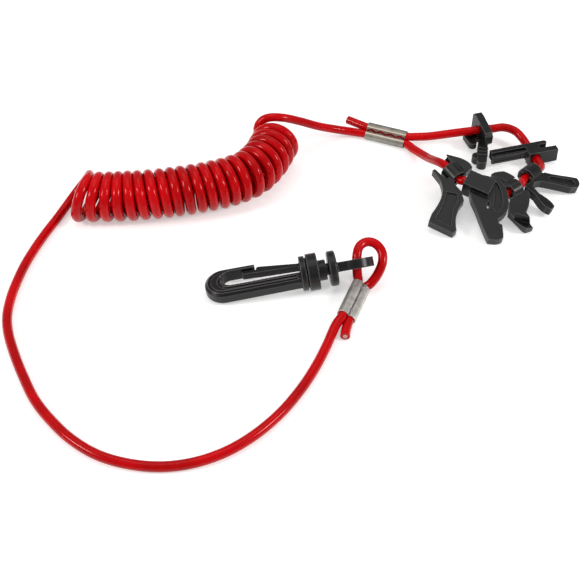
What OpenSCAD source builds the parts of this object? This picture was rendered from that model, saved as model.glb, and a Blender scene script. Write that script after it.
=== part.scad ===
// Safety lanyard for an outboard engine's kill switch.
// A curly cord runs from a swivel snap hook to a crimped loop of switch keys.
// It lies on a table: X runs along the hook, Y away from the viewer, Z up.
// The origin is on the table, under the middle of the box round hook and keys.

/* [Cord] */
// Diameter of the vinyl cord
cord_d = 4; // [3.4:0.1:4.4]
// Outer diameter of the curly stretch
coil_d = 22.5; // [20:0.5:23]

/* [Crimped ferrules] */
// Length of each ferrule
ferrule_l = 19.2; // [14:0.2:20]
// Thickness of the ferrule's metal strip
ferrule_wall = 0.5; // [0.4:0.1:0.7]
// Number of interlocking teeth along the seam
seam_teeth = 4; // [3:1:6]
// Height of a seam tooth across the seam
tooth_h = 1.2; // [0.6:0.1:1.4]
// Width of the open seam between the teeth
seam_gap = 0.7; // [0.4:0.1:0.9]
// Width of the crease on the back of a ferrule
crease_w = 0.8; // [0.4:0.1:1.2]

/* [Snap hook] */
// Length of the hook from its bow to its collar
hook_l = 39.6; // [36:0.2:44]
// Width of the hook across its bow
hook_w = 15.8; // [15:0.2:16.4]
// Thickness of the moulding
hook_t = 5.8; // [5:0.2:6.4]
// Width of the spine at the bow
spine_w = 5.3; // [4.6:0.1:5.6]
// How far the spine narrows towards the collar
spine_taper = 0.5; // [0:0.1:1]
// Length of the nose past the centre of the bow
nose_l = 12.4; // [10:0.2:14]
// Thickness of the nose at its tip
nose_w = 2.3; // [2:0.1:2.8]
// Chamfer along the hook's outer edges
hook_chamfer = 1.2; // [0.6:0.1:1.5]
// Width of each groove along the spine
groove_w = 0.9; // [0.6:0.1:1.1]
// Depth of each groove along the spine
groove_h = 0.8; // [0.4:0.1:1.2]

/* [Gate] */
// Thickness of the gate at its tip, inside the nose
gate_w = 1.8; // [1.6:0.1:2]
// Thickness of the gate beside the nose
gate_swell = 3.4; // [3:0.1:3.6]
// Height of the gate, less than the hook's
gate_t = 3.2; // [3:0.2:3.6]
// How far the gate reaches in under the nose
gate_lap = 4.6; // [3:0.2:6]
// Diameter of the gate's round root
gate_root_d = 2.6; // [2.4:0.1:2.8]
// Gap between the gate and the nose
gate_gap = 0.3; // [0.2:0.05:0.4]

/* [Collar and swivel] */
// Diameter of the thick flange
flange_d = 15.5; // [14.6:0.1:16.5]
// Length of the thick flange
flange_l = 4.4; // [4:0.1:5]
// Diameter of the thin flange next to the hook
lip_d = 14.5; // [13.6:0.1:15]
// Length of the thin flange
lip_l = 2.3; // [2:0.1:2.8]
// Diameter of the waist between the two flanges
waist_d = 12.4; // [11.6:0.1:13]
// Length of the waist between the two flanges
waist_l = 0.6; // [0.4:0.1:1]
// Diameter of the neck behind the thick flange
neck_d = 8.6; // [8:0.1:9.4]
// Length of the neck
neck_l = 3.3; // [2.6:0.1:4]
// Diameter of the swivel's stud
stud_d = 5; // [4.4:0.1:5.4]
// Diameter of the stud's snap head
stud_head_d = 7; // [6.4:0.1:7.4]
// Length of the stud's snap head
stud_head_l = 2.6; // [2:0.1:3]
// Radial clearance of the stud in its bore
stud_clear = 0.06; // [0.04:0.01:0.09]
// End play of the swivel
swivel_play = 0.3; // [0.25:0.05:0.5]
// Length of bare stud between the neck and the disc
stud_gap = 1; // [0.6:0.1:1.6]

/* [Swivel eye] */
// Diameter of the eye's disc
disc_d = 14.7; // [13:0.1:15.4]
// Thickness of the disc
disc_l = 3.4; // [2.6:0.1:4]
// Width of the eye
eye_w = 15; // [14:0.2:16]
// Length of the eye from its disc to its tip
eye_l = 15.5; // [14.5:0.1:17]
// Thickness of the eye
eye_t = 4; // [3.4:0.1:4.6]
// Width of the eye's hole
eye_hole_w = 10; // [9.4:0.1:10.4]
// Turn of the eye about the hook's long axis
eye_turn = 45; // [40:1:50]

/* [Switch keys] */
// Thickness of the flat keys
key_t = 4; // [3.4:0.1:4.4]
// Radial clearance of the cord in each key
key_clear = 0.45; // [0.35:0.05:0.6]
// Wall round the cord in each key
key_wall = 1.9; // [1.6:0.1:2.4]
// Tilt of the keys that lean on the cord
key_tilt = 16; // [15:0.5:16.5]
// Depth of the panels sunk in the keys
panel_h = 0.9; // [0.5:0.1:1.3]
// Length of the cord's seat in the barrel keys
barrel_l = 8; // [6:0.2:8.4]
// Length of the clip key
clip_l = 28; // [25:0.5:28.5]
// Height of the clip key
clip_h = 6.8; // [6.5:0.1:7]
// Thickness of the clip key's back bar
clip_plate = 2.4; // [2:0.1:2.8]
// Width of the clip key's slot
clip_slot = 2.2; // [1.8:0.1:2.6]
// Thickness of the tee key
tee_t = 3.8; // [3.4:0.1:4.2]
// Number of grip ribs on the tee key's stem
tee_ribs = 3; // [2:1:4]

/* [Hidden] */
$fn = 48;
eps = 0.01;

red = "#c20a16";
steel = "#c9c6c0";
black = "#2b2a2b";

// The hook lies in the X direction and leans on its bow and its thick flange
hook_at = [-47.4, -41.7];
flange_x = lip_l + waist_l;
hook_lean = atan((flange_d - hook_t) / 2 / (hook_l + flange_x));
hook_z = flange_d / 2 * cos(hook_lean) - flange_x * sin(hook_lean);
neck_x = flange_x + flange_l;
disc_x = neck_x + neck_l + stud_gap;
eye_hole_x = disc_x + disc_l + eye_l - eye_w / 2;

// Ferrules: centre, heading and roll, with the two squeezed cords side by side
crimp_pitch = cord_d * 0.85;
crimp_squeeze = 0.8;
crimp_r = cord_d / 2 + ferrule_wall;
hook_crimp = [-27.7, -56.3, 61, 30];
key_crimp = [7.6, 50.6, -30, 40];

// Keys: the point that each one turns about, on the centre line of the cord.
// The tee key hangs beside the far end of the clip key
clip_at = [74.3, 22, 5];
clip_head = 6;
tee_side = 0.25;
tee_gap = 0.65;
tee_at = [clip_at[0] + clip_head - clip_l - tee_gap - tee_side, 42.6, 8];
fork_at = [65, 8, 7.1];
wedge_at = [52.5, -3.5, 8.3];
channel_at = [37, 0.8, 10.6];
flared_at = [29.1, 8.4, 11.3];
bore_d = cord_d + 2 * key_clear;
barrel_d = bore_d + 2 * key_wall;

function crimp_z(c) = crimp_pitch / 2 * sin(c[3]) + crimp_r;
function crimp_point(c, u, v) = [
    c[0] + u * cos(c[2]) - v * cos(c[3]) * sin(c[2]),
    c[1] + u * sin(c[2]) + v * cos(c[3]) * cos(c[2]),
    crimp_z(c) + v * sin(c[3])];

// A cord point is [x, y, z], and one inside a crimp also has a width and a roll
function crimped(c, u, v) = concat(crimp_point(c, u, v), [crimp_squeeze, c[3]]);

coil_axis = [[-134.5, 15.4], [-123.5, 14], [-112.5, 13.2], [-101.5, 13.1], [-90, 13.8],
    [-79, 15.2], [-69, 17.6], [-60.5, 22], [-53.5, 30], [-49, 38], [-45.8, 44.5]];
coil_route = [for (p = coil_axis) [p[0], p[1], coil_d / 2]];

tail_end = ferrule_l / 2;
tail_route = concat([[-131, 23.4, 17.8], [-134, 25.8, 12], [-138.5, 25.4, 6.5],
    [-143.5, 20.5, 3], [-148, 13, 2], [-152.5, 4.5, 2], [-157, -5, 2], [-161, -15, 2],
    [-164, -25, 2], [-166, -34, 2], [-167, -44, 2], [-166, -54, 2], [-163, -66, 2],
    [-159.5, -77, 2], [-155, -89, 2], [-149, -99.5, 2], [-141.5, -109.5, 2],
    [-132, -118, 2], [-121, -123.5, 2], [-109.5, -126.3, 2], [-98, -126.1, 2],
    [-86.5, -123, 2], [-75.5, -117, 2], [-65, -108.5, 2], [-56, -98.5, 2],
    [-48.5, -88, 2], [-42.5, -78, 2.4], [-37.6, -69.2, 3.5]],
    [crimped(hook_crimp, -tail_end, crimp_pitch / 2)]);

hook_loop_route = concat([crimped(hook_crimp, -tail_end, crimp_pitch / 2),
    crimped(hook_crimp, tail_end, crimp_pitch / 2)],
    [[-24.2, -44.8, 6.4], [-24.1, -42, 9.6], [-23.6, -39, 12.6], [-22, -35.8, 14.2],
    [-18.6, -34, 14.6], [-15.2, -35, 14], [-13.1, -38.2, 12.4], [-13.4, -42, 9.8],
    [-16, -45.6, 6.6], [-19.6, -48.3, 4]],
    [crimped(hook_crimp, tail_end, -crimp_pitch / 2),
    crimped(hook_crimp, -tail_end, -crimp_pitch / 2)],
    [[-33.3, -70.2, 2.4], [-34.4, -73.9, 2.3]]);

lead_route = concat([[-54.5, 48, 13], [-53.2, 49.6, 18], [-48.5, 49.4, 20.4],
    [-42, 50, 19.2], [-34, 52, 15], [-25, 54.3, 9.6], [-16, 56.2, 5.4], [-8, 56.4, 3]],
    [crimped(key_crimp, -tail_end, -crimp_pitch / 2)]);

key_loop_route = concat([[-8.7, 64.2, 4.5], [-4.4, 60.2, 4.6],
    crimped(key_crimp, -tail_end, crimp_pitch / 2),
    crimped(key_crimp, tail_end, crimp_pitch / 2)],
    [[21.5, 45.3, 5.2], [27, 44, 5.9], [33, 43.2, 6.8], [39.5, 42.7, 7.6], [46, 42.6, 8],
    [57, 42.7, 8.2], [62.5, 42.6, 8.4], [67.5, 39.9, 7.6], [70.3, 34.8, 5.9], [71.3, 30, 4.9],
    [72.1, 24, 4.9], [72.7, 18, 4.9], [72.3, 14.4, 5.6], [68.3, 10.6, 6.8], [61.7, 5.4, 7.3],
    [59, 1.4, 8.3], [56.3, -1.8, 8.9], [52.4, -3.6, 8.2], [48.9, -4.9, 7.4],
    [45.8, -4, 7.1], [43.2, -2.7, 8.5], [40.6, -1.4, 10.1], [33.2, 3.2, 11], [31.1, 4.8, 10.5],
    [27.2, 12, 12.3], [25, 16.8, 11.5],
    [23.6, 21.8, 9.1], [22.6, 27, 6.4], [21, 33, 4.2], [18.4, 39, 2.9]],
    [crimped(key_crimp, tail_end, -crimp_pitch / 2),
    crimped(key_crimp, -tail_end, -crimp_pitch / 2)]);

function head(p) = [p[0], p[1], p[2]];
function unit(v) = v / norm(v);
function along(route, i) = unit(head(route[min(i + 1, len(route) - 1)])
    - head(route[max(i - 1, 0)]));
function squeeze(p) = len(p) > 3 ? p[3] : 1;
function roll(p) = len(p) > 3 ? p[4] : 0;

// One ring of the cord, square to its route, with flats on its top and bottom
function ring(p, t, r, n) = let (s0 = unit(cross([0, 0, 1], t)), u0 = cross(t, s0),
    s = cos(roll(p)) * s0 + sin(roll(p)) * u0, u = cos(roll(p)) * u0 - sin(roll(p)) * s0)
    [for (k = [0:n - 1]) let (a = (k + 0.5) * 360 / n)
        head(p) + r * (cos(a) * squeeze(p) * s + sin(a) * u)];

// Sweeps a round cord of diameter d along its route's own points
module cord(route, d, n = 8) {
    rings = len(route);
    points = [for (i = [0:rings - 1])
        each ring(route[i], along(route, i), d / 2 / cos(180 / n), n)];
    first = [for (k = [0:n - 1]) k];
    last = [for (k = [n - 1:-1:0]) (rings - 1) * n + k];
    sides = [for (i = [0:rings - 2], k = [0:n - 1])
        let (a = i * n + k, b = i * n + (k + 1) % n)
        each [[a, a + n, b], [b, a + n, b + n]]];
    polyhedron(points, concat([first, last], sides));
}

function arc(c, r, from, to, n = 14) =
    [for (i = [0:n]) let (a = from + (to - from) * i / n) c + r * [cos(a), sin(a)]];

// A flat bar with round ends, from p to q
module link(p, q, rp, rq) {
    d = norm(q - p);
    a = atan2(q[1] - p[1], q[0] - p[0]);
    b = acos((rp - rq) / d);
    polygon(concat(arc(p, rp, a + b, a + 360 - b), arc(q, rq, a - b, a + b)));
}

// A smooth edge from p to r that leans towards q
function bend(p, q, r, n = 8) =
    [for (i = [0:n]) let (t = i / n) (1 - t) * (1 - t) * p + 2 * t * (1 - t) * q + t * t * r];

module slab(h) {
    translate([0, 0, -h / 2]) linear_extrude(h) children();
}

module coil_cord() {
    color(red) cord(coil_route, coil_d, 12);
}

module tail_cord() {
    color(red) cord(tail_route, cord_d);
}

module hook_loop_cord() {
    color(red) cord(hook_loop_route, cord_d);
}

module lead_cord() {
    color(red) cord(lead_route, cord_d);
}

module key_loop_cord() {
    color(red) cord(key_loop_route, cord_d);
}

// Two cords lie side by side in the strip, so its section is a figure of eight
module ferrule_section(r) {
    for (s = [-1, 1]) translate([0, s * crimp_pitch / 2]) circle(r = r);
}

module seam_outline() {
    step = ferrule_l / seam_teeth;
    side = [for (i = [0:2 * seam_teeth])
        [i * step / 2 - ferrule_l / 2, (i % 2 == 0 ? -1 : 1) * tooth_h / 2]];
    polygon(concat([for (p = side) p + [0, seam_gap / 2]],
        [for (i = [len(side) - 1:-1:0]) side[i] - [0, seam_gap / 2]]));
}

// The strip is folded round the cords, and its toothed ends meet on one face
module ferrule(c, seam) {
    translate([c[0], c[1], crimp_z(c)]) rotate([0, 0, c[2]]) rotate([c[3], 0, 0])
        difference() {
            rotate([90, 0, 90]) slab(ferrule_l) rotate(90) difference() {
                ferrule_section(crimp_r);
                ferrule_section(cord_d / 2);
            }
            scale([1, 1, seam]) linear_extrude(crimp_r + eps) seam_outline();
            translate([0, 0, -seam * crimp_r]) rotate([45, 0, 0])
                cube([ferrule_l + 1, crease_w, crease_w], center = true);
        }
}

module hook_ferrule() {
    color(steel) ferrule(hook_crimp, -1);
}

module key_ferrule() {
    color(steel) ferrule(key_crimp, 1);
}

module at_hook() {
    translate([hook_at[0], hook_at[1], hook_z]) rotate([0, -hook_lean, 0]) children();
}

// Key points of the hook's outline, seen from above, with the collar at x = 0
bow_r = hook_w / 2;
bow_x = bow_r - hook_l;
bow_y = 0.8;
spine_in = bow_y + spine_w - bow_r;
nose_x = bow_x + nose_l;
nose_y = bow_y + bow_r - nose_w / 2 - 0.2;
nose_in = nose_y - nose_w / 2;
mouth_r = (nose_in - spine_in) / 2;
spine_root_y = bow_y - bow_r + spine_taper;
gate_tip_y = nose_in - gate_gap - gate_w / 2;
gate_tip_x = nose_x - gate_lap;
root_x = gate_root_d / 2 - 0.8;
root_y = 4;

module hook_outline() {
    difference() {
        union() {
            translate([bow_x, bow_y]) circle(r = bow_r);
            link([bow_x, bow_y + bow_r - 2.2], [nose_x, nose_y], 2.2, nose_w / 2);
            polygon([[bow_x, bow_y - bow_r], [0, spine_root_y], [0, spine_in + spine_taper / 2],
                [bow_x, spine_in]]);
        }
        translate([bow_x + 3, spine_in + mouth_r]) circle(r = mouth_r);
        polygon([[bow_x + 3, spine_in], [1, spine_in + spine_taper / 2], [1, nose_in],
            [bow_x + 3, nose_in]]);
    }
}

// A corner to cut off an outer edge, with its foot at the edge before the chamfer
module edge_corner() {
    polygon([[-hook_chamfer - 0.2, 0.2], [1, 0.2], [1, -hook_chamfer - 1]]);
}

// The chamfer runs along the spine, round the bow and along the nose
module edge_cuts() {
    for (s = [-1, 1]) scale([1, 1, s]) translate([bow_x, bow_y, hook_t / 2]) {
        intersection() {
            rotate_extrude() translate([bow_r, 0]) edge_corner();
            translate([-2 * bow_r, -2 * bow_r, -4]) cube([2 * bow_r + 0.8, 4 * bow_r, 5]);
        }
        translate([0, bow_r, 0]) rotate([90, 0, 90]) linear_extrude(nose_l + 2) edge_corner();
        rotate([0, 0, atan(-spine_taper / bow_x)]) translate([0, -bow_r, 0])
            rotate([90, 0, 90]) linear_extrude(-bow_x - 0.2) scale([-1, 1]) edge_corner();
    }
}

// Two grooves run along the spine and round the bow
module hook_grooves() {
    for (k = [0, 1]) {
        r = bow_r - 1.5 - k * 1.9;
        start = bow_x + 2 * k;
        difference() {
            translate([start, bow_y]) circle(r = r);
            translate([start, bow_y]) circle(r = r - groove_w);
            translate([start, bow_y - bow_r]) square([2 * bow_r, 2 * bow_r]);
        }
        link([start, bow_y - r + groove_w / 2],
            [-2, bow_y + spine_taper / 2 * (1 - k) - r + groove_w / 2],
            groove_w / 2, groove_w / 2);
    }
}

module snap_hook() {
    color(black) at_hook() difference() {
        union() {
            slab(hook_t) hook_outline();
            rotate([0, 90, 0]) {
                cylinder(d = lip_d, h = lip_l);
                cylinder(d = waist_d, h = flange_x + 1);
                translate([0, 0, flange_x]) cylinder(d = flange_d, h = flange_l);
                cylinder(d = neck_d, h = neck_x + neck_l);
            }
        }
        edge_cuts();
        for (s = [-1, 1]) scale([1, 1, s]) translate([0, 0, hook_t / 2 - groove_h])
            linear_extrude(groove_h + eps) hook_grooves();
        rotate([0, 90, 0]) {
            cylinder_from(neck_x + neck_l - stud_bore_l, stud_d / 2 + stud_clear,
                stud_bore_l + eps);
            cylinder_from(cavity_x, stud_head_d / 2 + stud_clear, cavity_l);
        }
        translate([root_x, root_y, 0]) {
            cylinder(r = gate_root_d / 2 + 0.08, h = gate_t + 0.6, center = true);
            translate([-2, -(gate_root_d / 2 - 0.1), -(gate_t + 0.6) / 2])
                cube([2, gate_root_d - 0.2, gate_t + 0.6]);
        }
    }
}

cavity_l = stud_head_l + 2 * swivel_play;
cavity_x = flange_x + flange_l - 0.6 - cavity_l;
stud_bore_l = neck_x + neck_l - cavity_x - cavity_l;

module cylinder_from(z, r, h) {
    translate([0, 0, z]) cylinder(r = r, h = h);
}

// The gate is a springy tongue that shuts against the inside of the nose
module hook_gate() {
    step_x = nose_x + nose_w / 2 + 0.4;
    in_y = gate_tip_y - gate_w / 2 - 0.3;
    color(black) at_hook() slab(gate_t) {
        translate([root_x, root_y]) circle(d = gate_root_d);
        link([root_x - 0.6, root_y], [gate_tip_x + gate_w / 2, gate_tip_y], 0.85, gate_w / 2);
        polygon([[root_x - 0.6, root_y - 0.85], [root_x - 0.6, root_y + 0.85],
            [step_x + 1, in_y + gate_swell], [step_x, in_y + gate_swell - 0.5], [step_x, in_y]]);
    }
}

module eye_outline() {
    tip = disc_l + eye_l - eye_w / 2;
    difference() {
        union() {
            translate([tip, 0]) circle(d = eye_w);
            translate([disc_l / 2, -disc_d / 2 + 1]) square([tip - disc_l / 2, disc_d - 2]);
        }
        translate([tip, 0]) circle(d = eye_hole_w);
        translate([disc_l + 2.2, -eye_hole_w / 2 + 1.5])
            square([tip - disc_l - 2.2, eye_hole_w - 3]);
        translate([disc_l + 3.7, -eye_hole_w / 2]) square([tip - disc_l - 3.7, eye_hole_w]);
    }
}

module swivel_eye() {
    stud_end = cavity_x + swivel_play;
    color(black) at_hook() rotate([-eye_turn, 0, 0]) {
        translate([disc_x, 0, 0]) {
            slab(eye_t) eye_outline();
            rotate([0, 90, 0]) rotate_extrude() polygon([[0, 0], [disc_d / 2 - 0.5, 0],
                [disc_d / 2, 0.5], [disc_d / 2, disc_l - 0.5], [disc_d / 2 - 0.5, disc_l],
                [0, disc_l]]);
        }
        rotate([0, 90, 0]) {
            cylinder_from(stud_end + 1, stud_d / 2, disc_x - stud_end);
            translate([0, 0, stud_end]) rotate_extrude() polygon([[0, 0],
                [stud_d / 2 - 0.2, 0], [stud_head_d / 2, 1], [stud_head_d / 2, stud_head_l],
                [0, stud_head_l]]);
        }
    }
}

module at_key(at, yaw, tilt = 0, fall = 0) {
    translate(at) rotate([0, 0, yaw]) rotate([tilt, fall, 0]) children();
}

module key_bore(l, d) {
    rotate([0, 90, 0]) cylinder(d = d, h = l, center = true);
}

// Past the seat, the key is cut back so that the cord can bend away from it
module cord_way(from, to, from_d = barrel_d) {
    key_bore(30, bore_d);
    rotate([0, 90, 0]) {
        translate([0, 0, -from - 12]) cylinder(d = from_d, h = 12);
        translate([0, 0, to]) cylinder(d = barrel_d, h = 12);
    }
}

// Tee key: a long head square on the cord, a leaf beside it and a ribbed stem
module tee_key() {
    color(black) difference() {
        union() {
            at_key(tee_at, 9) {
                rotate([90, 0, 90]) slab(tee_t) polygon([[-9, -1.6], [-7, -3.8], [5, -3.8],
                    [6.6, -2.4], [6.6, 5], [5.4, 6.2], [2.6, 6.2], [-7.6, 4], [-9, 2.2]]);
                translate([0, 0, -4]) slab(3) link([-5.4, 2], [-5.8, -4.4], 2.3, 1.9);
                translate([-5, -2, -5.5]) cube([5, 4, 3]);
            }
            at_key(tee_at, -17) {
                translate([1.4, -20.6, -3.8]) slab(4) link([0, 0], [0, 14], 2.3, 2.3);
                translate([-0.8, -17, -4]) slab(3.6) circle(r = 2.5);
                for (i = [0:tee_ribs - 1]) translate([-1.1, -17.4 + 2.6 * i, -2.4])
                    cube([5, 1, 1.2]);
            }
        }
        at_key(tee_at, 0) key_bore(4 * tee_t, bore_d);
    }
}

// Clip key: a long back bar and a shorter front plate, joined round the cord
module clip_key() {
    block_l = 14.3;
    bar_y = clip_slot + 3.2;
    color(black) at_key(clip_at, 6, 0, -2) difference() {
        translate([0, 0, -clip_h / 2]) {
            translate([clip_head - clip_l, bar_y, 2.6])
                cube([clip_l - 1.5, clip_plate, clip_h - 2.6]);
            translate([clip_head - 1.5, bar_y + clip_plate / 2, 2.6])
                cylinder(d = clip_plate, h = clip_h - 2.6);
            translate([8.7 - block_l, -0.4, 0]) cube([block_l, 3.2, clip_h]);
            translate([-5.2, 0, 0]) cube([6.4, bar_y + 1, clip_h]);
            translate([clip_head - 0.8 - clip_l, 2.1, 2.8]) cube([clip_l - 10.6, 1.5, clip_h - 3]);
        }
        translate([clip_head + 0.2 - clip_l, 2.1 - eps, 3.6 - clip_h / 2])
            cube([clip_l - 14.6, 0.5, clip_h - 4.6]);
        translate([-2, 3, 0]) rotate([90, 0, 0]) cylinder(d = bore_d, h = 16, center = true);
    }
}

// Fork key: a broad tongue and a narrow finger spread from a barrel on the cord
module fork_key() {
    color(black) at_key(fork_at, -8, 5, 10) difference() {
        union() {
            slab(key_t) polygon(concat(bend([-6.6, -4], [-6, 2.6], [0.4, 3]),
                bend([3.2, 1.6], [8, 0], [17.8, 0.3]),
                bend([21.6, 0.1], [23.4, -2.6], [21.2, -6]),
                bend([17.8, -6.8], [10, -5.8], [4, -5.4]), [[0.4, -7], [-0.4, -9.6]],
                bend([1.8, -13.3], [7.6, -17.4], [8, -20.4]),
                bend([6.4, -22.4], [3.4, -22.2], [1.4, -18]), [[0, -14.6], [-4.4, -10.4]]));
            rotate([0, 0, 46]) key_bore(barrel_l - 1, barrel_d);
        }
        translate([13.5, -3.2, key_t / 2 - panel_h / 2]) slab(panel_h + eps)
            link([-4, 0.3], [4.6, -0.2], 1.7, 1.9);
        rotate([0, 0, 46]) cord_way(barrel_l / 2, barrel_l / 2);
    }
}

// Wedge key: a leg with a bevelled end below the cord, and an arched finger behind
module wedge_key() {
    color(black) at_key(wedge_at, -8, key_tilt) difference() {
        union() {
            slab(key_t) polygon(concat([[-0.4, -0.6], [-1.4, -6], [-2.4, -12.4]],
                [[3.2, -19.9], [4.4, -20.9], [7.7, -19.7]], [[6.4, -14.4], [5.2, -12]],
                bend([6.2, -10.4], [8, -6], [7.6, -1.4]), bend([5, 3], [1, 8.6], [-2.9, 9.6]),
                [[-6.8, 8.9], [-8.3, 7.9], [-7.6, 6.2]], bend([-5, 5.4], [-1.8, 5.4], [-1, 2.2])));
            rotate([0, 0, 33]) translate([1.6, 0, 0]) key_bore(barrel_l - 3, barrel_d);
        }
        translate([6, -21, key_t / 2]) rotate([0, 0, -20]) rotate([-30, 0, 0])
            translate([-8, -6, 0]) cube([16, 11, 6]);
        rotate([0, 0, 33]) cord_way(1.2, 4.1);
    }
}

// Channel key: a box round the cord, a hollowed curved plate and a barbed leg
module channel_key() {
    color(black) at_key(channel_at, -8, key_tilt) difference() {
        union() {
            rotate([0, 0, -29]) translate([2, -0.8, 0])
                cube([barrel_l + 4.2, 8.2, barrel_d], center = true);
            slab(key_t) polygon(concat(bend([-1, 4.6], [4, 4], [8, 2.4]),
                bend([11.1, 0.4], [13.8, -2.6], [13.8, -8]),
                bend([13.8, -10.6], [13.4, -16.6], [8.2, -19.4]),
                [[8.4, -21.6], [9.8, -22.4], [9.8, -27]], bend([9.6, -29], [8, -30.6], [5.4, -30.2]),
                bend([3, -29.8], [1.2, -24.6], [-1, -14.6]), [[-2.6, -9.6], [-3.2, -4]]));
        }
        translate([0, 0, key_t / 2 - panel_h / 2]) slab(panel_h + eps)
            polygon(concat(bend([8.4, 0.2], [10.8, -1.6], [11, -7.6]),
                bend([11, -11], [10.6, -14], [8, -16]), [[6.6, -13.4], [8.2, -6]]));
        translate([4.6, -12.2, 0]) rotate([0, 0, -8]) cube([1, 3.6, 2 * key_t], center = true);
        rotate([0, 0, -25]) {
            key_bore(barrel_l + 6, bore_d);
            translate([4.2, 0, 0]) rotate([0, 112, 0]) cylinder(d = bore_d + 0.4, h = 14);
        }
        translate([8, -8.8, -key_t]) cube([8, 7.6, key_t + 0.5]);
    }
}

// Flared key: a horn each side of the cord, a narrow waist and a wide foot
module flared_key() {
    color(black) at_key(flared_at, -8, key_tilt) difference() {
        union() {
            translate([-0.4, -1, 0]) slab(key_t) polygon(concat([[1.6, 2.6]],
                bend([-2.6, 7.6], [-4, 10.6], [-1.6, 10.3]),
                bend([2.6, 8.9], [8.6, 6.6], [8.8, 3]), bend([6, 0.4], [4.4, -3], [2.6, -7.6]),
                bend([3.7, -14.6], [-1.6, -21], [-0.7, -30]), [[-2.4, -31.6], [-12.6, -25.6]],
                bend([-11, -21.4], [-5, -13], [-5.4, -7.6]), bend([-6, -4], [-7, -2], [-9.2, 1.6]),
                [[-8, 2.4]], bend([-6.4, 0.4], [-3.6, -3], [-2.6, -2.8])));
            rotate([0, 0, -56]) key_bore(barrel_l - 1, barrel_d);
        }
        translate([-0.4, -1, key_t / 2 - panel_h / 2]) slab(panel_h + eps)
            polygon(concat(bend([-3.6, -10], [-4.4, -16], [-9.6, -23.8]), [[-3, -28], [-2.6, -24]],
                bend([-1.6, -19], [0.6, -16], [1, -11])));
        rotate([0, 0, -56]) cord_way(barrel_l / 2, barrel_l / 2 - 0.3, bore_d + 1.5);
    }
}

coil_cord();
tail_cord();
hook_loop_cord();
lead_cord();
key_loop_cord();
hook_ferrule();
key_ferrule();
snap_hook();
hook_gate();
swivel_eye();
tee_key();
clip_key();
fork_key();
wedge_key();
channel_key();
flared_key();
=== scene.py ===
import math
import random

import bpy
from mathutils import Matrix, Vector


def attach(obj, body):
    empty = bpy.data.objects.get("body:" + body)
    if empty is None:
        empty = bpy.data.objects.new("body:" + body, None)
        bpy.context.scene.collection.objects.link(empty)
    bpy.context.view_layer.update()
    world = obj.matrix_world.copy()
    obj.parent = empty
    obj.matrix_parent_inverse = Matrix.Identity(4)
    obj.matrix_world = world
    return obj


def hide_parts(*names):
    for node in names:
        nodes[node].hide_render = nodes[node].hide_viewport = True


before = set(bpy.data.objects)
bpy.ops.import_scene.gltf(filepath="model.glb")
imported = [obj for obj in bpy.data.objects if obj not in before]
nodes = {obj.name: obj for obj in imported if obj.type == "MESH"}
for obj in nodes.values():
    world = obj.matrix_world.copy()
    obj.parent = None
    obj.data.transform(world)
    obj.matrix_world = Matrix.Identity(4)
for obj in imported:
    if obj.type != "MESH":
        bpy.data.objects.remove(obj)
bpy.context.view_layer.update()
bpy.ops.object.select_all(action="DESELECT")
print("frame loaded,", len(nodes), "nodes")


mm = 0.001

# The photo's camera, in metres and with its lens in mm
shot = {
    "eye": (-0.0963, -0.3581, 0.3182),
    "target": (-0.052, -0.043, 0.0),
    "lens": 67.4,
    "sensor": 36.0,
    "nearest": 0.01,
    "farthest": 20,
}
bpy.ops.object.camera_add(location=shot["eye"])
camera = bpy.context.active_object
camera.name = "photo_camera"
aim = Vector(shot["target"]) - Vector(shot["eye"])
camera.rotation_euler = aim.to_track_quat("-Z", "Y").to_euler()
camera.data.lens = shot["lens"]
camera.data.sensor_width = shot["sensor"]
camera.data.clip_start = shot["nearest"]
camera.data.clip_end = shot["farthest"]
camera.data.dof.use_dof = False
bpy.context.scene.camera = camera
print("camera placed")


# The cord is one length from cut end to cut end, with its sizes and places in mm
cordSizes = {
    "diameter": 4,
    "squeezed": 0.96,      # of the diameter, inside a crimp
    "swollen": 1.15,       # of the diameter, where the coil was heat-set
    "swellPoints": 30,     # over which the swelling eases at the coil's ends
    "step": 1.1,           # between the points of the finished curve
    "sides": 6,
}
crimpSizes = {
    "length": 19.2,
    "pitch": 3.4,          # between the middles of its two cords
    "wall": 0.5,
    "reach": 4.2,          # from its middle line to where the squeeze ends
    "ease": 2,
}
crimps = {
    # centre x and y, heading and roll in degrees
    "hook": (-27.7, -56.3, 61, 30),
    "key": (7.6, 50.6, -30, 40),
}
coilSizes = {
    "radius": 8.95,        # to the cord's own middle
    "height": 11.25,
    "zeroAngle": -45,      # where turns are counted from, and the lean is greatest
    "firstAngle": -15,
    "lastAngle": 7455,     # 20.8 turns
    "firstPlace": -1.6,    # along the axis, at the zero angle
    "pitch": 4.8,          # at its tightest turn
    "pitchGrowth": 0.0055, # for each turn from there, squared
    "tightTurn": 9,
    "leftLean": 4.3,
    "leftTurns": 5.5,      # over which the lean of the left end fades
    "leftFade": 1.5,
    "rightLean": 1.9,
    "rightTurns": (13, 16, 18.5, 21),  # where it starts, is full, drops and ends
    "pointsPerTurn": 24,
    "wobble": 0.12,        # the most that a turn strays towards the axis
    "wobbleAlong": 1.5,    # of that much, how far it strays along the axis
    "seed": 4,
    "shakes": 80,          # drawn at random
    "firstShake": 2,       # the one at the zero angle
    "shakesPerTurn": 2,
    "axisStep": 0.25,
    "headingReach": 1,     # to each side of where the axis's heading is wanted
    "axis": [(-134.5, 15.4), (-123.5, 14), (-112.5, 13.2), (-101.5, 13.1), (-90, 13.8),
             (-79, 15.2), (-69, 17.6), (-60.5, 22), (-53.5, 30), (-49, 38),
             (-45.8, 44.5)],
}


def clamp(value, low=0, high=1):
    return min(max(value, low), high)


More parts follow.
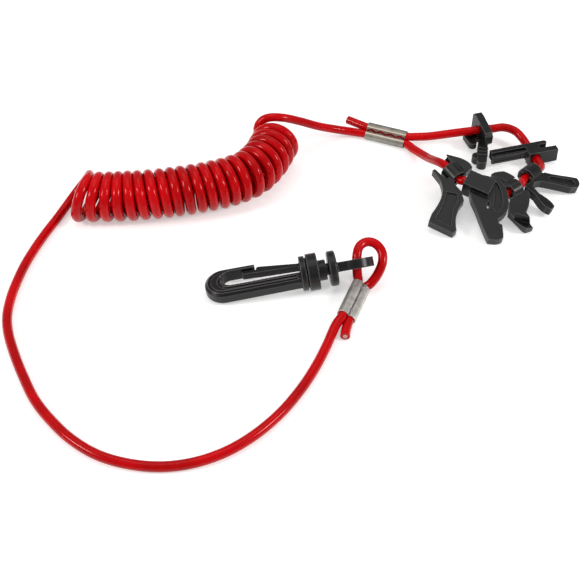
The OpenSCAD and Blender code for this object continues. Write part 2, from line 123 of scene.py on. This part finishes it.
# Where a cord lies in a crimp, along its length and to one side of its middle
def crimpPoint(crimp, along, side):
    x, y, heading, roll = crimp
    h, r = math.radians(heading), math.radians(roll)
    middle = (crimpSizes["pitch"] / 2 * math.sin(r) + cordSizes["diameter"] / 2
              + crimpSizes["wall"])
    return (
        x + along * math.cos(h) - side * math.cos(r) * math.sin(h),
        y + along * math.sin(h) + side * math.cos(r) * math.cos(h),
        middle + side * math.sin(r),
    )


# The cord's three points in a crimp, on one of its two sides
def crimpPass(crimp, side, backwards=False):
    half = crimpSizes["length"] / 2
    places = (half, 0, -half) if backwards else (-half, 0, half)
    return [crimpPoint(crimp, along, side * crimpSizes["pitch"] / 2) for along in places]


# A Catmull-Rom curve through the points, at even steps apart from the last, which is
# left out if it would be too short
def throughPoints(points, step, samplesPerStep=4, shortestLast=0.3):
    points = [Vector(p) for p in points]
    points = [2 * points[0] - points[1]] + points + [2 * points[-1] - points[-2]]
    dense = []
    for i in range(1, len(points) - 2):
        a, b, c, d = points[i - 1:i + 3]
        count = max(2, int((c - b).length / step * samplesPerStep))
        for k in range(count):
            t = k / count
            dense.append(0.5 * (2 * b + (c - a) * t + (2 * a - 5 * b + 4 * c - d) * t * t
                                + (3 * b - a - 3 * c + d) * t ** 3))
    dense.append(points[-2])
    even = [dense[0]]
    left = step
    for a, b in zip(dense, dense[1:]):
        run = (b - a).length
        while run >= left and run > 0:
            a = a + (b - a) * (left / run)
            even.append(a)
            run = (b - a).length
            left = step
        left -= run
    if (even[-1] - dense[-1]).length > step * shortestLast:
        even.append(dense[-1])
    return even


# The place at a distance along points that lie at even steps
def placeAlong(points, step, distance):
    i = distance / step
    k = clamp(math.floor(i), 0, len(points) - 2)
    return points[k] + (points[k + 1] - points[k]) * (i - k)


# The heading there, from the places a little before it and after it
def headingAlong(points, step, distance):
    reach = coilSizes["headingReach"]
    s = clamp(distance, reach, (len(points) - 1) * step - reach)
    ahead = placeAlong(points, step, s + reach) - placeAlong(points, step, s - reach)
    return ahead.normalized()


# The coil's turns round its bent axis, which lean at both ends and wander a little
def coilPoints():
    size = coilSizes
    axisStep = size["axisStep"]
    axis = throughPoints([(x, y, size["height"]) for x, y in size["axis"]], axisStep)
    random.seed(size["seed"])
    shake = [random.uniform(-1, 1) for _ in range(size["shakes"])]
    rise, full, drop, end = size["rightTurns"]
    up = Vector((0, 0, 1))
    points = []
    angle = size["firstAngle"]
    s = size["firstPlace"] + size["pitch"] * (angle - size["zeroAngle"]) / 360
    while angle <= size["lastAngle"]:
        turn = (angle - size["zeroAngle"]) / 360
        lean = size["leftLean"] * max(0, 1 - turn / size["leftTurns"]) ** size["leftFade"]
        late = clamp((turn - rise) / (full - rise)) * clamp((end - turn) / (end - drop))
        lean = (lean + size["rightLean"] * late) * math.cos(math.radians(360 * turn))
        at = turn * size["shakesPerTurn"] + size["firstShake"]
        k = int(at)
        jog = (shake[k] * (1 - at + k) + shake[k + 1] * (at - k)) * size["wobble"]
        ahead = headingAlong(axis, axisStep, s)
        a = math.radians(angle)
        outwards = math.cos(a) * up + math.sin(a) * ahead.cross(up)
        points.append(placeAlong(axis, axisStep, s) + (size["radius"] - abs(jog)) * outwards
                      + ahead * (lean + jog * size["wobbleAlong"]))
        pitch = size["pitch"] + size["pitchGrowth"] * (turn - size["tightTurn"]) ** 2
        s += pitch / size["pointsPerTurn"]
        angle += 360 / size["pointsPerTurn"]
    return [tuple(p) for p in points]


# The cord's plain stretches and loops, in their order from its end at the hook
hookLoop = [(-34.4, -73.9, 2.3), (-33.3, -70.2, 2.4),
            *crimpPass(crimps["hook"], -1),
            (-19.6, -48.3, 4), (-16, -45.6, 6.6), (-13.4, -42, 9.8), (-13.1, -38.2, 12.4),
            (-15.2, -35, 14), (-18.6, -34, 14.6), (-22, -35.8, 14.2), (-23.6, -39, 12.6),
            (-24.1, -42, 9.6), (-24.2, -44.8, 6.4),
            *crimpPass(crimps["hook"], 1, backwards=True)]
tail = [(-37.6, -69.2, 3.5), (-42.5, -78, 2.4), (-48.5, -88, 2), (-56, -98.5, 2),
        (-65, -108.5, 2), (-75.5, -117, 2), (-86.5, -123, 2), (-98, -126.1, 2),
        (-109.5, -126.3, 2), (-121, -123.5, 2), (-132, -118, 2), (-141.5, -109.5, 2),
        (-149, -99.5, 2), (-155, -89, 2), (-159.5, -77, 2), (-163, -66, 2), (-166, -54, 2),
        (-167, -44, 2), (-166, -34, 2), (-164, -25, 2), (-161, -15, 2), (-157, -5, 2),
        (-152.5, 4.5, 2), (-148, 13, 2), (-143.5, 20.5, 3), (-138.5, 25.4, 6.5),
        (-134, 25.8, 12), (-131.6, 23.2, 17.2)]
lead = [(-54.2, 49.2, 15), (-52.2, 50, 18.4), (-48.5, 49.6, 20.3), (-42, 50, 19.2),
        (-34, 52, 15), (-25, 54.3, 9.6), (-16, 56.2, 5.4), (-8, 56.4, 3),
        *crimpPass(crimps["key"], -1)]
keyLoop = [(18.4, 39, 2.9), (21, 33, 4.2), (22.6, 27, 6.4), (23.6, 21.8, 9.1),
           (25, 16.8, 11.5), (27.2, 12, 12.3), (31.1, 4.8, 10.5), (33.2, 3.2, 11),
           (40.6, -1.4, 10.1), (43.2, -2.7, 8.5), (45.8, -4, 7.1), (48.9, -4.9, 7.4),
           (52.4, -3.6, 8.2), (56.3, -1.8, 8.9), (59, 1.4, 8.3), (61.7, 5.4, 7.3),
           (68.3, 10.6, 6.8), (72.3, 14.4, 5.6), (72.7, 18, 4.9), (72.1, 24, 4.9),
           (71.3, 30, 4.9), (70.3, 34.8, 5.9), (67.5, 39.9, 7.6), (62.5, 42.6, 8.4),
           (57, 42.7, 8.2), (46, 42.6, 8), (39.5, 42.7, 7.6), (33, 43.2, 6.8),
           (27, 44, 5.9), (21.5, 45.3, 5.2),
           *crimpPass(crimps["key"], 1, backwards=True),
           (-4.4, 60.2, 4.6), (-8.7, 64.2, 4.5)]
coil = coilPoints()
route = hookLoop + tail + coil + lead + keyLoop
line = [p * mm for p in throughPoints(route, cordSizes["step"])]
cordLength = sum((b - a).length for a, b in zip(line, line[1:]))
print("cord route: %d points, %.3f m" % (len(line), cordLength))


# 1 inside a crimp and 0 well outside it, to squeeze the cord there
def crimpShare(p):
    best = 0
    for crimp in crimps.values():
        a = Vector(crimpPoint(crimp, -crimpSizes["length"] / 2, 0)) * mm
        b = Vector(crimpPoint(crimp, crimpSizes["length"] / 2, 0)) * mm
        t = clamp((p - a).dot(b - a) / (b - a).length_squared)
        gap = (p - a.lerp(b, t)).length / mm
        best = max(best, clamp((crimpSizes["reach"] - gap) / crimpSizes["ease"]))
    return best


# The number of the point of the finished curve that lies nearest
def nearestTo(p):
    p = Vector(p) * mm
    return min(range(len(line)), key=lambda i: (line[i] - p).length)


coilStart, coilEnd = nearestTo(coil[0]), nearestTo(coil[-1])


# 1 along the coil, easing to 0 over a few centimetres of plain cord
def coilShare(i):
    t = clamp(min(i - coilStart, coilEnd - i) / cordSizes["swellPoints"] + 0.5)
    return t * t * (3 - 2 * t)


cordCurve = bpy.data.curves.new("lanyard_cord", "CURVE")
cordCurve.dimensions = "3D"
spline = cordCurve.splines.new("POLY")
spline.points.add(len(line) - 1)
for i, (point, p) in enumerate(zip(spline.points, line)):
    point.co = (p.x, p.y, p.z, 1)
    point.radius = (1 - (1 - cordSizes["squeezed"]) * crimpShare(p)
                    + (cordSizes["swollen"] - 1) * coilShare(i))
cordCurve.bevel_depth = cordSizes["diameter"] / 2 * mm
cordCurve.bevel_resolution = cordSizes["sides"]
cordCurve.use_fill_caps = True
spline.use_smooth = True
cord = bpy.data.objects.new("lanyard_cord", cordCurve)
bpy.context.scene.collection.objects.link(cord)
print("cord made")


# Sizes in mm, and how many points into the cord its heading is taken from
coreSizes = {"radius": 0.9, "depth": 0.8, "edge": 0.15, "sides": 20, "inwards": 3}


# The pale cut face of the cord's inner strand, just proud of the skin
def addCore(name, end, inner):
    way = (end - inner).normalized()
    bpy.ops.mesh.primitive_cylinder_add(vertices=coreSizes["sides"],
                                        radius=coreSizes["radius"] * mm,
                                        depth=coreSizes["depth"] * mm,
                                        location=(0, 0, 0))
    core = bpy.context.active_object
    core.name = name
    bpy.ops.object.mode_set(mode="EDIT")
    bpy.ops.mesh.select_all(action="SELECT")
    bpy.ops.mesh.bevel(offset=coreSizes["edge"] * mm, segments=2)
    bpy.ops.object.mode_set(mode="OBJECT")
    core.rotation_euler = way.to_track_quat("Z", "Y").to_euler()
    core.location = end
    bpy.ops.object.transform_apply(location=True, rotation=True, scale=True)
    bpy.ops.object.shade_smooth()
    return core


hookCore = addCore("hook_end_core", line[0], line[coreSizes["inwards"]])
keyCore = addCore("key_end_core", line[-1], line[-1 - coreSizes["inwards"]])
print("cut ends made")


# Moulded and folded pieces, softened from the CAD pieces
softSizes = {
    # node: (new piece, voxel in mm, smoothing rounds)
    "snap_hook": ("moulded_hook", 0.2, 3),
    "hook_gate": ("moulded_gate", 0.14, 4),
    "swivel_eye": ("moulded_eye", 0.16, 4),
    "hook_ferrule": ("folded_hook_crimp", 0.13, 2),
    "key_ferrule": ("folded_key_crimp", 0.13, 2),
    "tee_key": ("moulded_tee_key", 0.13, 2),
    "clip_key": ("moulded_clip_key", 0.14, 3),
    "fork_key": ("moulded_fork_key", 0.15, 4),
    "wedge_key": ("moulded_wedge_key", 0.15, 3),
    "channel_key": ("moulded_channel_key", 0.16, 3),
    "flared_key": ("moulded_flared_key", 0.15, 3),
}
softening = {"weldMm": 0.002, "factor": 0.5}

# The jaws' tips are balls, their height is over the crimp's middle, and each leaves a
# mark with a spot of painted shade, all in mm
dimples = {"radius": 0.9, "fromMiddle": 6.6, "height": 2.5, "shadeSpotRadius": 0.8,
           "segments": 24, "rings": 12}


# The two marks that the crimping jaws left in the crease, near the ferrule's ends
def pressDimples(piece, crimp):
    heading, roll = math.radians(crimp[2]), math.radians(crimp[3])
    out = Vector((math.sin(roll) * math.sin(heading), -math.sin(roll) * math.cos(heading),
                  math.cos(roll)))
    for along in (-dimples["fromMiddle"], dimples["fromMiddle"]):
        centre = Vector(crimpPoint(crimp, along, 0)) + out * dimples["height"]
        bpy.ops.mesh.primitive_uv_sphere_add(segments=dimples["segments"],
                                             ring_count=dimples["rings"],
                                             radius=dimples["radius"] * mm,
                                             location=centre * mm)
        jaw = bpy.context.active_object
        bpy.context.view_layer.objects.active = piece
        cut = piece.modifiers.new("dimple", "BOOLEAN")
        cut.operation = "DIFFERENCE"
        cut.object = jaw
        bpy.ops.object.modifier_apply(modifier="dimple")
        bpy.data.objects.remove(jaw)


# A copy of a CAD piece with its edges rounded as a mould or a die leaves them
def softCopy(nodeName):
    name, voxel, rounds = softSizes[nodeName]
    source = nodes[nodeName]
    bpy.ops.object.select_all(action="DESELECT")
    # a plane that only lends its object, since its mesh is replaced
    bpy.ops.mesh.primitive_plane_add()
    piece = bpy.context.active_object
    piece.name = name
    piece.data = source.data.copy()
    piece.data.name = name
    piece.data.materials.clear()
    bpy.ops.object.mode_set(mode="EDIT")
    bpy.ops.mesh.select_all(action="SELECT")
    bpy.ops.mesh.remove_doubles(threshold=softening["weldMm"] * mm)
    bpy.ops.object.mode_set(mode="OBJECT")
    if nodeName == "hook_ferrule":
        pressDimples(piece, crimps["hook"])
        bpy.ops.object.select_all(action="DESELECT")
        piece.select_set(True)
        bpy.context.view_layer.objects.active = piece
    remesh = piece.modifiers.new("remesh", "REMESH")
    remesh.mode = "VOXEL"
    remesh.voxel_size = voxel * mm
    remesh.adaptivity = 0
    smooth = piece.modifiers.new("smooth", "SMOOTH")
    smooth.factor = softening["factor"]
    smooth.iterations = rounds
    bpy.ops.object.modifier_apply(modifier="remesh")
    bpy.ops.object.modifier_apply(modifier="smooth")
    bpy.ops.object.shade_smooth()
    return piece


pieces = {}
for nodeName in softSizes:
    pieces[nodeName] = softCopy(nodeName)
    print("softened", nodeName, len(pieces[nodeName].data.polygons), "faces")


# An sRGB hex code as linear colour
def colour(hexCode):
    channels = []
    for i in (1, 3, 5):
        c = int(hexCode[i:i + 2], 16) / 255
        channels.append(c / 12.92 if c <= 0.04045 else ((c + 0.055) / 1.055) ** 2.4)
    return (*channels, 1.0)


# Adds a node. Its settings are its own properties, its inputs' values or the stops of
# a colour ramp, and its links are the sockets that feed its inputs
def addNode(tree, kind, settings=None, links=None):
    node = tree.nodes.new(kind)
    for key, value in (settings or {}).items():
        if key == "stops":
            elements = node.color_ramp.elements
            while len(elements) < len(value):
                elements.new(0.5)
            for element, (place, tone) in zip(elements, value):
                element.position = place
                element.color = tone
        elif hasattr(node, str(key)):
            setattr(node, key, value)
        else:
            node.inputs[key].default_value = value
    for socket, source in (links or {}).items():
        tree.links.new(source, node.inputs[socket])
    return node


# An empty material with a Principled shader, its settings and its coordinates
def newMaterial(name, settings):
    material = bpy.data.materials.new(name)
    material.use_nodes = True
    tree = material.node_tree
    tree.nodes.clear()
    shader = addNode(tree, "ShaderNodeBsdfPrincipled", settings)
    addNode(tree, "ShaderNodeOutputMaterial", None, {"Surface": shader.outputs[0]})
    coords = addNode(tree, "ShaderNodeTexCoord").outputs["Object"]
    return material, tree, shader, coords


# Links what a material works out to its shader
def feed(tree, shader, sockets):
    for name, source in sockets.items():
        tree.links.new(source, shader.inputs[name])


# Soft vinyl drawn over a nylon core: a deep clear red, glossy from the die,
# with cloudy patches where the colour is thicker and a faint drawn grain
vinylLook = {"deep": "#ae0004", "plain": "#c10008", "fresh": "#cf030d",
             "cloudMm": 14, "grainMm": 0.6, "gloss": (0.14, 0.2), "glossTint": "#ffb4b4",
             "redBleed": (1.0, 0.14, 0.1), "bleedMm": 1.2, "grainDepthMm": 0.04}


def makeVinyl():
    look = vinylLook
    material, tree, shader, coords = newMaterial("drawn_red_vinyl", {
        "IOR": 1.53, "Specular IOR Level": 0.3, "Specular Tint": colour(look["glossTint"]),
        "Subsurface Weight": 0.06, "Subsurface Radius": look["redBleed"],
        "Subsurface Scale": look["bleedMm"] * mm})
    cloud = addNode(tree, "ShaderNodeTexNoise", {
        "Scale": 1 / (look["cloudMm"] * mm), "Detail": 2.0}, {"Vector": coords})
    grain = addNode(tree, "ShaderNodeTexNoise", {
        "Scale": 1 / (look["grainMm"] * mm), "Detail": 2.0}, {"Vector": coords})
    body = addNode(tree, "ShaderNodeValToRGB", {"stops": [
        (0.35, colour(look["deep"])), (0.52, colour(look["plain"])),
        (0.7, colour(look["fresh"]))]}, {"Fac": cloud.outputs["Fac"]})
    gloss = addNode(tree, "ShaderNodeMapRange", {
        "To Min": look["gloss"][0], "To Max": look["gloss"][1]},
        {"Value": grain.outputs["Fac"]})
    bump = addNode(tree, "ShaderNodeBump", {
        "Strength": 0.04, "Distance": look["grainDepthMm"] * mm},
        {"Height": grain.outputs["Fac"]})
    feed(tree, shader, {"Base Color": body.outputs["Color"],
                        "Roughness": gloss.outputs["Result"],
                        "Normal": bump.outputs["Normal"]})
    return material


# Acetal and nylon mouldings, black all through but greyed by a spark-eroded mould,
# with streaks where the melt flowed and paler sharp edges, partly rubbed and partly a painted
# highlight
mouldLooks = {
    "hook": {"name": "moulded_black_acetal", "dark": "#0e0d0d", "light": "#171616",
             "rubbedAndHighlit": "#5a5758", "streakMm": 3, "grainMm": 0.22, "gloss": (0.24, 0.36),
             "grainStrength": 0.2},
    "keys": {"name": "moulded_black_nylon", "dark": "#0c0b0c", "light": "#161515",
             "rubbedAndHighlit": "#565354", "streakMm": 4, "grainMm": 0.26, "gloss": (0.26, 0.4),
             "grainStrength": 0.25},
}
# What both looks share: how sharp an edge is when its paler colour, partly rubbed wear
# and partly a painted highlight, starts and when it is palest, the grain's depth and the
# streaks' stretch
mouldSharedLook = {"from": 0.503, "to": 0.54, "most": 0.85, "grainDepthMm": 0.05,
             "streakStretch": (0.25, 1.0, 1.0)}


def makeMoulded(look):
    material, tree, shader, coords = newMaterial(look["name"], {
        "IOR": 1.48, "Specular IOR Level": 0.38})
    flow = addNode(tree, "ShaderNodeMapping", {"Scale": mouldSharedLook["streakStretch"]},
                   {"Vector": coords})
    streak = addNode(tree, "ShaderNodeTexNoise", {
        "Scale": 1 / (look["streakMm"] * mm), "Detail": 4.0},
        {"Vector": flow.outputs["Vector"]})
    grain = addNode(tree, "ShaderNodeTexNoise", {
        "Scale": 1 / (look["grainMm"] * mm), "Detail": 2.0}, {"Vector": coords})
    body = addNode(tree, "ShaderNodeValToRGB", {"stops": [
        (0.38, colour(look["dark"])), (0.64, colour(look["light"]))]},
        {"Fac": streak.outputs["Fac"]})
    # sharp edges turn paler: partly rubbed wear, partly a painted highlight
    edges = addNode(tree, "ShaderNodeNewGeometry").outputs["Pointiness"]
    rubbedAndHighlit = addNode(tree, "ShaderNodeMapRange", {
        "From Min": mouldSharedLook["from"], "From Max": mouldSharedLook["to"],
        "To Max": mouldSharedLook["most"]}, {"Value": edges})
    mix = addNode(tree, "ShaderNodeMix", {"data_type": "RGBA", 7: colour(look["rubbedAndHighlit"])},
                  {"Factor": rubbedAndHighlit.outputs["Result"], 6: body.outputs["Color"]})
    gloss = addNode(tree, "ShaderNodeMapRange", {
        "To Min": look["gloss"][0], "To Max": look["gloss"][1]},
        {"Value": streak.outputs["Fac"]})
    bump = addNode(tree, "ShaderNodeBump", {
        "Strength": look["grainStrength"], "Distance": mouldSharedLook["grainDepthMm"] * mm},
        {"Height": grain.outputs["Fac"]})
    feed(tree, shader, {"Base Color": mix.outputs[2],
                        "Roughness": gloss.outputs["Result"],
                        "Normal": bump.outputs["Normal"]})
    return material


# Tinned steel strip, folded and pressed: dull silver, a little uneven where the jaws
# squeezed it, with painted shade in the crease between the two cords and in the jaws' marks
tinLook = {"bare": "#a39a8c", "plain": "#bdb9b3", "pale": "#cfccc7", "cut": "#e6d3bd",
           "patchMm": 3, "scuffMm": 0.4, "scuffDepthMm": 0.05, "gloss": (0.34, 0.46),
           "darkest": 0.75, "creaseDepthMm": 0.3, "faceFromMm": 1.0,
           "lipBesideMm": 0.25, "lipHalfMm": 0.3}
faceLooks = {
    # half the crease's width, the colour of the painted shade in it, the strip's painted
    # shade tint beside it, and how much the cut lip of the seam shows
    "hook": {"creaseMm": 0.4, "shade": "#6b6259", "shadeTint": "#ffffff", "lip": 0.0},
    # the key ferrule's painted shade is red-brown, as the cord seen in shadow through its open
    # seam
    "key": {"creaseMm": 1.35, "shade": "#6a3a2e", "shadeTint": "#b9bab4", "lip": 0.9},
}


def makeTin(name, crimp, face):
    look = tinLook
    x, y, heading, roll = crimp
    middle = crimpPoint(crimp, 0, 0)[2]
    material, tree, shader, coords = newMaterial(name, {"Metallic": 0.8})
    patch = addNode(tree, "ShaderNodeTexNoise", {
        "Scale": 1 / (look["patchMm"] * mm), "Detail": 3.0}, {"Vector": coords})
    scuff = addNode(tree, "ShaderNodeTexNoise", {
        "Scale": 1 / (look["scuffMm"] * mm), "Detail": 3.0}, {"Vector": coords})
    body = addNode(tree, "ShaderNodeValToRGB", {"stops": [
        (0.22, colour(look["bare"])), (0.42, colour(look["plain"])),
        (0.64, colour(look["pale"]))]}, {"Fac": patch.outputs["Fac"]})
    # the crimp's own axes in mm: x along it, y across it, z out of its face
    away = addNode(tree, "ShaderNodeMapping", {
        "vector_type": "TEXTURE", "Location": (x * mm, y * mm, middle * mm),
        "Rotation": (math.radians(roll), 0, math.radians(heading)),
        "Scale": (mm, mm, mm)}, {"Vector": coords})
    axes = addNode(tree, "ShaderNodeSeparateXYZ", None, {0: away.outputs[0]})
    across = addNode(tree, "ShaderNodeMath", {"operation": "ABSOLUTE"}, {0: axes.outputs["Y"]})
    crease = addNode(tree, "ShaderNodeMapRange", {
        "From Max": face["creaseMm"], "To Min": 1.0, "To Max": 0.0},
        {"Value": across.outputs[0]})
    # the jaws' two marks are alike about the crimp's middle, each a spot of painted shade
    along = addNode(tree, "ShaderNodeMath", {"operation": "ABSOLUTE"}, {0: axes.outputs["X"]})
    ends = addNode(tree, "ShaderNodeMath", {
        "operation": "SUBTRACT", 1: dimples["fromMiddle"]}, {0: along.outputs[0]})
    spot = addNode(tree, "ShaderNodeCombineXYZ", None,
                   {0: ends.outputs[0], 1: across.outputs[0]})
    reach = addNode(tree, "ShaderNodeVectorMath", {"operation": "LENGTH"},
                    {0: spot.outputs[0]})
    mark = addNode(tree, "ShaderNodeMapRange", {
        "From Max": dimples["shadeSpotRadius"], "To Min": 1.0, "To Max": 0.0},
        {"Value": reach.outputs["Value"]})
    pressed = addNode(tree, "ShaderNodeMath", {"operation": "MAXIMUM"},
                      {0: crease.outputs["Result"], 1: mark.outputs["Result"]})
    outside = addNode(tree, "ShaderNodeMath", {
        "operation": "GREATER_THAN", 1: look["faceFromMm"]}, {0: axes.outputs["Z"]})
    pressed = addNode(tree, "ShaderNodeMath", {"operation": "MULTIPLY"},
                      {0: pressed.outputs[0], 1: outside.outputs[0]})
    # painted shade over the crease and the jaws' marks on the outer face
    paintedShade = addNode(tree, "ShaderNodeMath", {"operation": "MULTIPLY", 1: look["darkest"]},
                     {0: pressed.outputs[0]})
    # a cut lip along the open seam, brighter than the strip's face and its painted shade tint
    lip = addNode(tree, "ShaderNodeMath", {
        "operation": "COMPARE", 1: face["creaseMm"] + look["lipBesideMm"],
        2: look["lipHalfMm"]}, {0: across.outputs[0]})
    lip = addNode(tree, "ShaderNodeMath", {"operation": "MULTIPLY", 1: face["lip"]},
                  {0: lip.outputs[0]})
    lip = addNode(tree, "ShaderNodeMath", {"operation": "MULTIPLY"},
                  {0: lip.outputs[0], 1: outside.outputs[0]})
    # the strip's face, given a painted darker shade on the key ferrule though it is the same
    # tin as the hook's
    tinted = addNode(tree, "ShaderNodeMix", {
        "data_type": "RGBA", "blend_type": "MULTIPLY", 0: 1.0, 7: colour(face["shadeTint"])},
        {6: body.outputs["Color"]})
    tinted = addNode(tree, "ShaderNodeMix", {"data_type": "RGBA", 7: colour(look["cut"])},
                     {0: lip.outputs[0], 6: tinted.outputs[2]})
    mix = addNode(tree, "ShaderNodeMix", {"data_type": "RGBA", 7: colour(face["shade"])},
                  {0: paintedShade.outputs[0], 6: tinted.outputs[2]})
    gloss = addNode(tree, "ShaderNodeMapRange", {
        "To Min": look["gloss"][0], "To Max": look["gloss"][1]},
        {"Value": scuff.outputs["Fac"]})
    dent = addNode(tree, "ShaderNodeBump", {
        "Strength": 0.8, "Distance": look["creaseDepthMm"] * mm, "invert": True},
        {"Height": pressed.outputs[0]})
    bump = addNode(tree, "ShaderNodeBump", {
        "Strength": 0.15, "Distance": look["scuffDepthMm"] * mm},
        {"Height": scuff.outputs["Fac"], "Normal": dent.outputs["Normal"]})
    feed(tree, shader, {"Base Color": mix.outputs[2],
                        "Roughness": gloss.outputs["Result"],
                        "Normal": bump.outputs["Normal"]})
    return material


# Nylon core where the cord was cut: pale pink, with its fibres' ends showing
strandLook = {"fibre": "#f0d9d2", "gap": "#c99a92", "fibresPerMm": 4.2, "depthMm": 0.1}


def makeStrand():
    look = strandLook
    material, tree, shader, coords = newMaterial("cut_nylon_strand", {"Roughness": 0.75})
    fibres = addNode(tree, "ShaderNodeTexVoronoi", {"Scale": look["fibresPerMm"] / mm},
                     {"Vector": coords})
    body = addNode(tree, "ShaderNodeValToRGB", {"stops": [
        (0.0, colour(look["fibre"])), (0.6, colour(look["gap"]))]},
        {"Fac": fibres.outputs["Distance"]})
    bump = addNode(tree, "ShaderNodeBump", {
        "Strength": 0.4, "Distance": look["depthMm"] * mm},
        {"Height": fibres.outputs["Distance"]})
    feed(tree, shader, {"Base Color": body.outputs["Color"],
                        "Normal": bump.outputs["Normal"]})
    return material


vinyl = makeVinyl()
acetal = makeMoulded(mouldLooks["hook"])
nylon = makeMoulded(mouldLooks["keys"])
hookTin = makeTin("pressed_tinned_strip", crimps["hook"], faceLooks["hook"])
keyTin = makeTin("pressed_tinned_strip_with_seam", crimps["key"], faceLooks["key"])
strand = makeStrand()
print("materials made")


# Who wears what, and what moves with what
bodies = {"snap_hook": "hook", "hook_gate": "gate", "swivel_eye": "swivel",
          "hook_ferrule": "lanyard", "key_ferrule": "lanyard", "tee_key": "tee",
          "clip_key": "clip", "fork_key": "fork", "wedge_key": "wedge",
          "channel_key": "channel", "flared_key": "flared"}
for nodeName, piece in pieces.items():
    if "ferrule" in nodeName:
        piece.data.materials.append(hookTin if "hook" in nodeName else keyTin)
    elif nodeName.endswith("_key"):
        piece.data.materials.append(nylon)
    else:
        piece.data.materials.append(acetal)
    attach(piece, bodies[nodeName])
    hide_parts(nodeName)

cord.data.materials.append(vinyl)
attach(cord, "lanyard")
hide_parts("tail_cord", "coil_cord", "lead_cord", "hook_loop_cord", "key_loop_cord")
for core in (hookCore, keyCore):
    core.data.materials.append(strand)
    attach(core, "lanyard")

# The CAD pieces that are replaced get a material too, red for cord and black otherwise
for nodeName, node in nodes.items():
    node.data.materials.clear()
    node.data.materials.append(vinyl if "cord" in nodeName else nylon)
print("pieces dressed")


# Floor, background and soft light, with the floor's size and the mottle in metres
stageLook = {"floor": ("#ececeb", "#f2f2f1"), "floorSize": 6, "mottle": 0.05,
             "whitening": 0.42, "white": (1.0, 1.0, 1.0, 1.0), "fillStrength": 0.4,
             "backStrength": 1.0}
bpy.ops.mesh.primitive_plane_add(size=stageLook["floorSize"], location=(0, 0, 0))
floor = bpy.context.active_object
floor.name = "table_top"

# Matt white paper, a little whiter to the camera and in reflections, with its shadows kept
paper, tree, shader, coords = newMaterial("matt_white_paper", {
    "Roughness": 0.9, "Specular IOR Level": 0.1, "Emission Color": stageLook["white"]})
mottle = addNode(tree, "ShaderNodeTexNoise", {
    "Scale": 1 / stageLook["mottle"], "Detail": 2.0}, {"Vector": coords})
tone = addNode(tree, "ShaderNodeValToRGB", {"stops": [
    (0.3, colour(stageLook["floor"][0])), (0.7, colour(stageLook["floor"][1]))]},
    {"Fac": mottle.outputs["Fac"]})
rays = addNode(tree, "ShaderNodeLightPath")
seen = addNode(tree, "ShaderNodeMath", {"operation": "MAXIMUM"},
               {0: rays.outputs["Is Camera Ray"], 1: rays.outputs["Is Glossy Ray"]})
seen = addNode(tree, "ShaderNodeMath", {"operation": "MAXIMUM"},
               {0: seen.outputs[0], 1: rays.outputs["Is Transmission Ray"]})
glow = addNode(tree, "ShaderNodeMath", {"operation": "MULTIPLY", 1: stageLook["whitening"]},
               {0: seen.outputs[0]})
feed(tree, shader, {"Base Color": tone.outputs["Color"],
                    "Emission Strength": glow.outputs[0]})
floor.data.materials.append(paper)

world = bpy.data.worlds.new("white_studio")
bpy.context.scene.world = world
world.use_nodes = True
tree = world.node_tree
tree.nodes.clear()
rays = addNode(tree, "ShaderNodeLightPath")
fill = addNode(tree, "ShaderNodeBackground", {
    "Color": stageLook["white"], "Strength": stageLook["fillStrength"]})
behind = addNode(tree, "ShaderNodeBackground", {
    "Color": stageLook["white"], "Strength": stageLook["backStrength"]})
mix = addNode(tree, "ShaderNodeMixShader", None, {
    0: rays.outputs["Is Camera Ray"], 1: fill.outputs[0], 2: behind.outputs[0]})
addNode(tree, "ShaderNodeOutputWorld", None, {"Surface": mix.outputs[0]})

lampsAim = (-0.03, -0.02, 0)
lamps = {
    # name: (place, size in m, watts)
    "overhead": ((-0.05, 0.2, 1.0), 0.8, 2.2),
    "left_box": ((-0.83, -0.2, 0.58), 0.24, 3.6),
    "right_box": ((0.7, -0.38, 0.56), 0.24, 4.2),
}
for name, (place, size, watts) in lamps.items():
    bpy.ops.object.light_add(type="AREA", location=place)
    lamp = bpy.context.active_object
    lamp.name = name
    lamp.data.size = size
    lamp.data.energy = watts
    toPart = Vector(lampsAim) - Vector(place)
    lamp.rotation_euler = toPart.to_track_quat("-Z", "Y").to_euler()

bpy.context.scene.view_settings.view_transform = "Standard"
print("stage lit")
